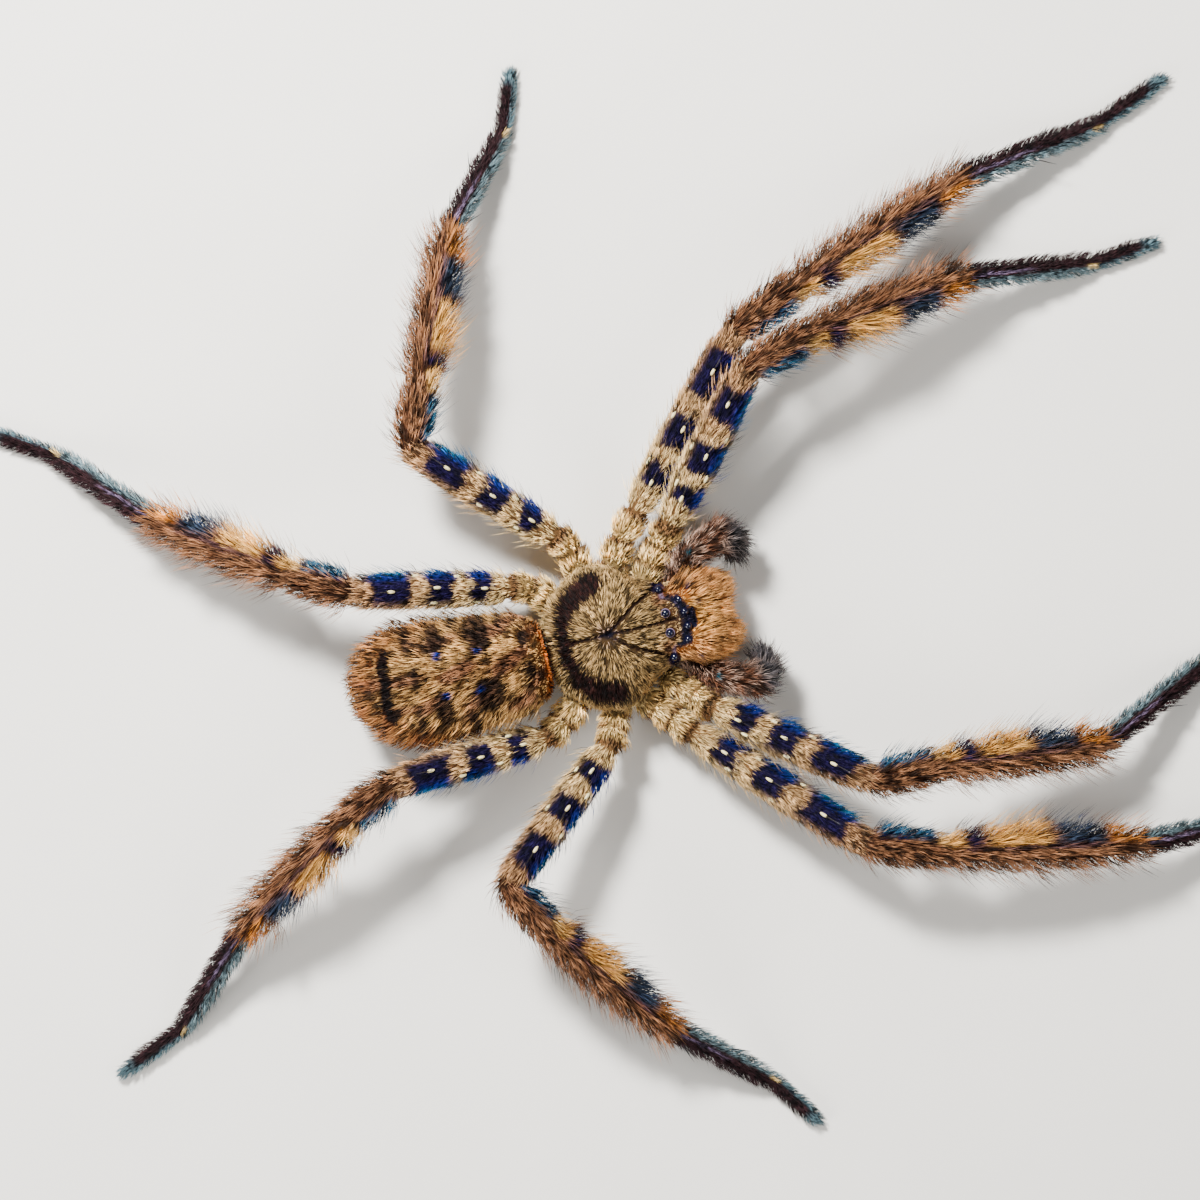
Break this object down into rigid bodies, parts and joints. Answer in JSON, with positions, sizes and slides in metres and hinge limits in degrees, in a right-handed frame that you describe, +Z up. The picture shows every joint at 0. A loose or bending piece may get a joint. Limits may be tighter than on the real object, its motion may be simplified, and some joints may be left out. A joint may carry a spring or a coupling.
{
  "type": "huntsman spider",
  "caption": "Still life-size huntsman spider standing on its spread legs, with a bristly coat, jaws, fangs, palps and eyes.",
  "frame": {"origin": "bottom centre of the whole model's box, on the floor under the body", "axes": "+X the way the spider faces, +Y its left side, +Z up"},
  "size_m": [0.101, 0.0872, 0.0102],
  "materials": {
    "carapace": "short dull hair",
    "sternum": "dull",
    "abdomen": "dense dull hair",
    "eyes": "gloss",
    "chelicerae": "orange hair",
    "fangs": "gloss",
    "palps": "dull hair",
    "coxae": "cream hair",
    "femora": "cream and indigo bands",
    "patellae": "dull hair",
    "tibiae": "long brown fringes",
    "feet": "dark short hair"
  },
  "bodies": {
    "root": {"carapace": "carapace", "sternum": "sternum", "abdomen": "abdomen", "pedicel": "sternum", "eye_front_middle_left": "eyes", "eye_front_middle_right": "eyes", "eye_front_side_left": "eyes", "eye_front_side_right": "eyes", "eye_rear_middle_left": "eyes", "eye_rear_middle_right": "eyes", "eye_rear_side_left": "eyes", "eye_rear_side_right": "eyes", "chelicera_left": "chelicerae", "fang_left": "fangs", "palp_femur_left": "palps", "palp_tarsus_left": "palps", "chelicera_right": "chelicerae", "fang_right": "fangs", "palp_femur_right": "palps", "palp_tarsus_right": "palps", "leg1_left_coxa": "coxae", "leg1_left_femur": "femora", "leg1_left_patella": "patellae", "leg1_left_tibia": "tibiae", "leg1_left_foot": "feet", "leg2_left_coxa": "coxae", "leg2_left_femur": "femora", "leg2_left_patella": "patellae", "leg2_left_tibia": "tibiae", "leg2_left_foot": "feet", "leg3_left_coxa": "coxae", "leg3_left_femur": "femora", "leg3_left_patella": "patellae", "leg3_left_tibia": "tibiae", "leg3_left_foot": "feet", "leg4_left_coxa": "coxae", "leg4_left_femur": "femora", "leg4_left_patella": "patellae", "leg4_left_tibia": "tibiae", "leg4_left_foot": "feet", "leg1_right_coxa": "coxae", "leg1_right_femur": "femora", "leg1_right_patella": "patellae", "leg1_right_tibia": "tibiae", "leg1_right_foot": "feet", "leg2_right_coxa": "coxae", "leg2_right_femur": "femora", "leg2_right_patella": "patellae", "leg2_right_tibia": "tibiae", "leg2_right_foot": "feet", "leg3_right_coxa": "coxae", "leg3_right_femur": "femora", "leg3_right_patella": "patellae", "leg3_right_tibia": "tibiae", "leg3_right_foot": "feet", "leg4_right_coxa": "coxae", "leg4_right_femur": "femora", "leg4_right_patella": "patellae", "leg4_right_tibia": "tibiae", "leg4_right_foot": "feet"}
  },
  "joints": []
}
